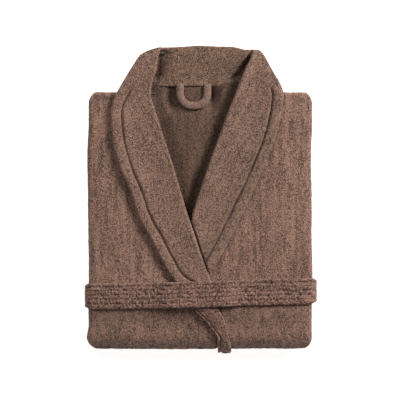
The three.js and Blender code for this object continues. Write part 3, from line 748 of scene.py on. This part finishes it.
BELT_THICK = 4.6
BELT_SPARE = 1.0  # kept clear inside the CAD belt's side
BELT_ABOVE, BELT_BELOW = 2.9, 2.7  # the belt's middle above the pack's top, and above the floor
CROWN = 7.2  # its rise over the crossing
CROWN_FROM, CROWN_TO = (-82, 34), (30, 36)  # where the rise starts and ends, and over how far


def belt_path():
    """The belt's loop seen end on: x and z of its middle, rising over the crossing of the collar."""
    side = node_mm("belt")[1][0] - BELT_THICK / 2 - BELT_SPARE
    low, thick = TOP + BELT_ABOVE, BELT_BELOW
    corner, foot = 13.0, 7.0
    quarter = np.linspace(0, math.pi / 2, 9)
    top_x = np.arange(-side + corner, side - corner, 1.15)
    (up_at, up_run), (down_at, down_run) = CROWN_FROM, CROWN_TO
    crown = CROWN * ease((top_x - up_at) / up_run) * (1 - ease((top_x - down_at) / down_run))
    bottom = np.arange(side - foot, -side + foot, -6.0)[1:]
    sin, cos = np.sin(quarter), np.cos(quarter)

    def bend(x, z, radius, dx, dz):
        return np.stack([x + radius * dx, z + radius * dz], 1)

    return np.concatenate([
        np.stack([top_x, low + crown], 1),
        bend(side - corner, low - corner, corner, sin, cos),
        bend(side - foot, foot + thick, foot, cos, -sin),
        np.stack([bottom, np.full(len(bottom), thick)], 1),
        bend(-side + foot, foot + thick, foot, -sin, -cos),
        bend(-side + corner, low - corner, corner, -cos, sin),
    ])


BELT_WIDTH = 41.5
BELT_ROWS = [-12.5, -5.5, 1.5, 8.5, 15.0]
BELT_TILT = math.radians(1.4)
DOT_PITCH = 5.0  # from one dent to the next along a row of the belt
DENT, DENT_WIDTH = 1.9, 1.3
PIT, PIT_SIZE = 2.1, (4.2, 3.6, 6.0)
ON_SIDES = 0.15  # the share of the relief that is left on the belt's sides
BELT_NARROWER, BELT_TURN = 0.13, 9  # the belt draws in where it turns down


def belt():
    path = belt_path()
    lo, hi = node_mm("belt")
    centre = (lo + hi) / 2
    w = np.linspace(-BELT_WIDTH / 2, BELT_WIDTH / 2, 52)
    grid = np.zeros((len(path), len(w), 3))
    x = path[:, 0][:, None]
    reach = np.abs(path[:, 0]).max()
    w = w[None, :] * (1 - BELT_NARROWER * ease((np.abs(x) - reach + BELT_TURN) / BELT_TURN))
    grid[..., 0] = centre[0] + x * math.cos(BELT_TILT) - w * math.sin(BELT_TILT)
    grid[..., 1] = centre[1] + x * math.sin(BELT_TILT) + w * math.cos(BELT_TILT)
    grid[..., 2] = path[:, 1][:, None]
    relief = 0.6 - PIT * np.clip(noise(grid + 5, PIT_SIZE), 0, 1)
    for i, row in enumerate(BELT_ROWS):
        dots = 0.55 + 0.45 * np.cos(x * 2 * math.pi / DOT_PITCH + i * 2.1 + 2.5 * noise(grid + 9 * i, 30.0))
        relief = relief - DENT * dots * bell((w - row) / DENT_WIDTH)
    on_top = ON_SIDES + (1 - ON_SIDES) * ease((grid[..., 2] - TOP + 8) / 8)
    clear_of_floor = ease((grid[..., 2] - 5) / 12)
    return grid, relief * on_top * clear_of_floor


TAIL_LIFT = 1.6  # how far the free end stands off the cloth
TAIL_ROOT_Y = -158.0
TAIL_ROUND = math.radians(102)  # how far it goes round the bottom fold
TAIL_LEFT = [(150, -24), (179, -8), (197, 10), (221, 27.5), (250, 28.5), (300, 28.5)]  # -y and x of its edge
TAIL_RIGHT = [(150, 20), (176, 30), (192, 38), (209, 44), (241, 50), (300, 50.5)]
TAIL_CREASE, TAIL_CREASE_AT, TAIL_CREASE_WIDTH = 1.8, 5.0, 1.2  # along its left edge
TAIL_PUFF, TAIL_PIT = 1.1, 0.8


def belt_tail():
    rows = 90
    arc = TAIL_ROUND * (FOLD_R + BELT_BELOW)
    u = np.linspace(0, 1, 34)
    y_flat = TAIL_ROOT_Y - np.linspace(0, TAIL_ROOT_Y - FOLD_Y + arc, rows)
    left = np.interp(-y_flat, *np.array(TAIL_LEFT).T)
    right = np.interp(-y_flat, *np.array(TAIL_RIGHT).T)
    x = left[None, :] + (right - left)[None, :] * u[:, None]
    grid = np.zeros((len(u), rows, 3))
    grid[..., 0] = x
    for j, y in enumerate(y_flat):
        if y >= FOLD_Y:
            grid[:, j, 1], grid[:, j, 2] = y, TOP + BELT_ABOVE + TAIL_LIFT
        else:
            radius = FOLD_R + BELT_BELOW + TAIL_LIFT
            a = (FOLD_Y - y) / radius
            grid[:, j, 1] = FOLD_Y - radius * math.sin(a)
            grid[:, j, 2] = BASE + FOLD_R + radius * math.cos(a)
    across = u[:, None] * (right - left)[None, :]
    width = (right - left)[None, :]
    crease = -TAIL_CREASE * bell((across - TAIL_CREASE_AT) / TAIL_CREASE_WIDTH)
    beyond = np.clip((across - TAIL_CREASE_AT) / (width - TAIL_CREASE_AT), 0, 1)
    pits = TAIL_PIT * np.clip(noise(grid + 5, PIT_SIZE), 0, 1)
    return grid, crease + TAIL_PUFF * np.sin(math.pi * beyond) - pits


LOOP_LO, LOOP_HI = node_mm("hanging_loop")
LOOP_X = (LOOP_LO[0] + LOOP_HI[0]) / 2
LOOP_W = 12.2
LOOP_CORNER = 26 - LOOP_W / 2  # of the tape's middle line
LOOP_SPREAD = 0.8
LOOP_RAISED = 0.9  # above the CAD loop's middle
LOOP_ROUND = 2.2  # how far the tape swells along its middle
TAPE_THICK = 2.4


def loop_line():
    """Middle line of the hanging loop's tape, in plan."""
    half = (LOOP_HI[0] - LOOP_LO[0] - LOOP_W) / 2 + LOOP_SPREAD
    foot = LOOP_LO[1] + LOOP_W / 2
    corner = LOOP_CORNER
    quarter = np.linspace(0, math.pi / 2, 16)
    left_down = np.stack([np.full(14, -half), np.linspace(SEAM_Y + 4, foot + corner, 14)], 1)
    turn_x, turn_y = corner * (1 - np.cos(quarter)), corner * (1 - np.sin(quarter))
    left_turn = np.stack([-half + turn_x, foot + turn_y], 1)[1:]
    across = np.stack([np.linspace(-half + corner, half - corner, 8), np.full(8, foot)], 1)[1:-1]
    left = np.concatenate([left_down, left_turn])
    line = np.concatenate([left, across, (left * [-1, 1])[::-1]])
    return line + [LOOP_X, 0]


def hanging_loop():
    line = loop_line()
    tangent = np.gradient(line, axis=0)
    side = np.stack([-tangent[:, 1], tangent[:, 0]], -1)
    side /= np.linalg.norm(side, axis=1, keepdims=True)
    w = np.linspace(-LOOP_W / 2, LOOP_W / 2, 16)
    grid = np.zeros((len(w), len(line), 3))
    grid[..., :2] = line[None] + side[None] * w[:, None, None]
    grid[..., 2] = (LOOP_LO[2] + LOOP_HI[2]) / 2 + LOOP_RAISED
    relief = np.tile(LOOP_ROUND * (1 - (w / LOOP_W * 2) ** 2)[:, None], (1, len(line)))
    return grid, relief + 0.25 * noise(grid, 5.0)


def flat_rect(x0, y0, x1, y1, z, step=4.0):
    x = np.linspace(x0, x1, max(int((x1 - x0) / step), 4))
    y = np.linspace(y0, y1, max(int((y1 - y0) / step), 4))
    grid = np.zeros((len(x), len(y), 3))
    grid[..., 0], grid[..., 1], grid[..., 2] = x[:, None], y[None, :], z
    return grid


def flat_tube(lo, hi, wall):
    """A tube pressed flat, seen end on, carried along y."""
    half = (hi[2] - lo[2]) / 2 - wall / 2
    z = (lo[2] + hi[2]) / 2
    x0, x1 = lo[0] + wall / 2 + half, hi[0] - wall / 2 - half
    turn = np.linspace(-math.pi / 2, math.pi / 2, 7)
    run = np.linspace(x0, x1, 26)[1:-1]
    right = np.stack([x1 + half * np.cos(turn), z + half * np.sin(turn)], 1)
    left = np.stack([x0 - half * np.cos(turn), z - half * np.sin(turn)], 1)
    ring = np.concatenate([right, np.stack([run[::-1], np.full(len(run), z + half)], 1), left,
                           np.stack([run, np.full(len(run), z - half)], 1)])
    y = np.linspace(lo[1], hi[1], max(int((hi[1] - lo[1]) / 7), 6))
    grid = np.zeros((len(ring), len(y), 3))
    grid[..., 0], grid[..., 2] = ring[:, 0][:, None], ring[:, 1][:, None]
    grid[..., 1] = y[None, :]
    return grid


# ---------- pieces ----------

def row_point(x, y, z):
    return tuple(to_row(np.array([[x, y, z]], float))[0])


def place_body():
    panels = {"front_left": (front_left(), BODY), "front_right": (front_right(), BODY),
              # the back panel takes the inside colour, which is painted shade
              "back_panel": (back_panel(), INSIDE_PAINTED_SHADE)}
    for name, (grid, material) in panels.items():
        panel = cloth(name + "_cloth", grid, CLOTH, material, pile=0.4, relief=0.6 * noise(grid, (8, 70, 8)))
        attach(panel, "robe")
        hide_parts(name)


def place_collar():
    sides = (("left", LEFT_PAIRS, LAPEL_L, 0.52), ("right", RIGHT_PAIRS, LAPEL_R, 0.5))
    for side, pairs, material, split in sides:
        upper, lower = collar_halves(side, pairs, material, split)
        top, foot = pairs[5], pairs[-3]
        inner_top, inner_next = np.array(top[0]), np.array(pairs[7][0])
        row_point(*inner_top, TOP)
        row_point(*inner_next, TOP)
        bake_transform(upper)
        end_at, start_at = np.array(pairs[-6][0]), np.array(foot[0])
        row_point(*start_at, TOP)
        row_point(*end_at, TOP)
        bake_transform(lower)
        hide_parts(f"collar_neck_{side}", f"lapel_{side}")
        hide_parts(f"front_band_{side}", f"under_collar_{side}")
    grid, relief = collar_stand()
    stand = cloth("collar_stand", grid, 5.0, STAND, rim=3.0, relief=relief, pile=0.38)
    fall = cloth("collar_fall", collar_fall(), COLLAR, STAND, rim=3.6, facing=(0, 1, 0))
    for piece in (stand, fall):
        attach(piece, "robe")
    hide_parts("collar_back")


def place_belt():
    grid, relief = belt()
    ring = cloth("belt_loop_round_pack", grid, BELT_THICK, BELT, wrap=True, rim=BELT_THICK / 2,
                 relief=relief, pile=0.3)
    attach(ring, "belt")
    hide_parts("belt")
    grid, relief = belt_tail()
    tail = cloth("belt_free_end", grid, BELT_THICK, BELT, rim=BELT_THICK / 2, relief=relief, pile=0.3)
    row_point(10, -170, TOP)
    row_point(10, -186, TOP)
    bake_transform(tail)
    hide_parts("belt_tail")


def place_loop():
    grid, relief = hanging_loop()
    loop = cloth("hanging_loop_tape", grid, TAPE_THICK, TAPE, rim=1.1, relief=relief, pile=0.12)
    row_point(LOOP_X, SEAM_Y, TOP - 6)
    row_point(LOOP_X, SEAM_Y - 5, TOP - 6)
    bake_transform(loop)
    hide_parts("hanging_loop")


POCKET_Z, POCKET_THICK = 2.9, 4.6  # clear of the floor
STITCH_Z = 0.55
STITCH_LENGTH, STITCH_PITCH, STITCH_RADIUS = 3.2, 4.4, 0.45
SEAM_AT = 4.0  # from a pocket's edge in to its stitches
HEM_SEAM_AT = 3
SLEEVE_THICK = 2.7


def place_hidden():
    for side in ("left", "right"):
        lo, hi = node_mm(f"sleeve_{side}")
        tube = flat_tube(lo, hi, SLEEVE_THICK)
        tube[..., 2] -= np.maximum(hollow(tube) - OVER_SLEEVE, 0)
        sleeve = cloth(f"sleeve_{side}_cloth", tube, SLEEVE_THICK, BODY, wrap=True, pile=0.2)
        lo, hi = node_mm(f"cuff_{side}")
        cuff = cloth(f"cuff_{side}_cloth", flat_tube(lo, hi, CLOTH), CLOTH, BODY, wrap=True, pile=0.2)
        lo, hi = node_mm(f"pocket_{side}")
        pocket = cloth(f"pocket_{side}_cloth", flat_rect(*lo[:2], *hi[:2], POCKET_Z), POCKET_THICK, POCKET,
                       pile=0.2, facing=DOWN)
        x0, y0, x1, y1 = lo[0] + SEAM_AT, lo[1] + SEAM_AT / 2, hi[0] - SEAM_AT, hi[1] - SEAM_AT
        seam = [[(x0, y0, STITCH_Z), (x0, y1, STITCH_Z)], [(x0, y1, STITCH_Z), (x1, y1, STITCH_Z)],
                [(x1, y1, STITCH_Z), (x1, y0, STITCH_Z)]]
        lo, hi = node_mm(f"pocket_hem_{side}")
        hem = cloth(f"pocket_hem_{side}_cloth", flat_rect(*lo[:2], *hi[:2], POCKET_Z), POCKET_THICK,
                    POCKET, pile=0.2, facing=DOWN)
        hem_y = hi[1] - HEM_SEAM_AT
        seam.append([(lo[0] + HEM_SEAM_AT, hem_y, STITCH_Z), (hi[0] - HEM_SEAM_AT, hem_y, STITCH_Z)])
        thread = stitches(f"pocket_{side}_stitches", seam, STITCH_LENGTH, STITCH_PITCH, STITCH_RADIUS, THREAD)
        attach(thread, "robe")
        lo, hi = node_mm(f"belt_loop_{side}")
        middle = (lo[2] + hi[2]) / 2
        tape = cloth(f"belt_loop_{side}_tape", flat_rect(*lo[:2], *hi[:2], middle, 2.0), TAPE_THICK, TAPE,
                     rim=1.0, pile=0.1)
        for piece, node, slot in ((sleeve, "sleeve", "sleeve_terry"), (cuff, "cuff", "cuff_terry"),
                                  (pocket, "pocket", "pocket_terry"), (hem, "pocket_hem", "pocket_terry"),
                                  (tape, "belt_loop", "belt_loop")):
            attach(piece, "robe")
            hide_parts(f"{node}_{side}")


# ---------- floor, light and camera ----------

FLOOR_SIZE, FLOOR_Z = 16, -0.0005
KEY_LIGHT = ((3.6, 2.7, 3.1), 1.8, 430)  # place, size and power
SECOND_LIGHT = ((-0.75, 1.0, 1.6), 0.6, 12)
ALL_ROUND = 0.17


def studio():
    bpy.ops.mesh.primitive_plane_add(size=FLOOR_SIZE, location=(0, 0, FLOOR_Z))
    floor = bpy.context.object
    floor.name = "floor"
    paint = bpy.data.materials.new("floor_paint")
    paint.use_nodes = True
    shader = paint.node_tree.nodes["Principled BSDF"]
    shader.inputs["Base Color"].default_value = (0.88, 0.88, 0.88, 1)
    shader.inputs["Roughness"].default_value = 0.8
    shader.inputs["Emission Color"].default_value = (1, 1, 1, 1)
    shader.inputs["Emission Strength"].default_value = 0.84
    floor.data.materials.append(paint)

    def area(name, location, size, energy):
        light = bpy.data.lights.new(name, "AREA")
        light.shape = "SQUARE"
        light.size = size
        light.energy = energy
        lamp = bpy.data.objects.new(name, light)
        lamp.location = location
        target = -np.array(location) / np.linalg.norm(location)
        lamp.rotation_euler = Vector(target).to_track_quat("-Z", "Y").to_euler()
        bpy.context.scene.collection.objects.link(lamp)

    area("key", *KEY_LIGHT)
    area("second", *SECOND_LIGHT)
    world = bpy.data.worlds.new("world")
    bpy.context.scene.world = world
    world.use_nodes = True
    world.node_tree.nodes["Background"].inputs["Color"].default_value = (1, 1, 1, 1)
    world.node_tree.nodes["Background"].inputs["Strength"].default_value = ALL_ROUND
    bpy.context.scene.view_settings.view_transform = "Standard"


CAMERA_HEIGHT = 3.0
FRAME_WIDTH = 0.640  # seen across the picture at the height of the chest
SENSOR = 36.0


def camera():
    data = bpy.data.cameras.new("camera")
    data.sensor_width = SENSOR
    data.lens = SENSOR * (CAMERA_HEIGHT - TOP * MM) / FRAME_WIDTH
    cam = bpy.data.objects.new("camera", data)
    cam.location = (MIDDLE_X, SHOULDER_ROW_Y - (SHOULDER + 1.2) * MM, CAMERA_HEIGHT)
    cam.rotation_euler = (0, 0, 0)
    bpy.context.scene.collection.objects.link(cam)
    bpy.context.scene.camera = cam


camera()
studio()
place_body()
place_collar()
place_belt()
place_loop()
place_hidden()
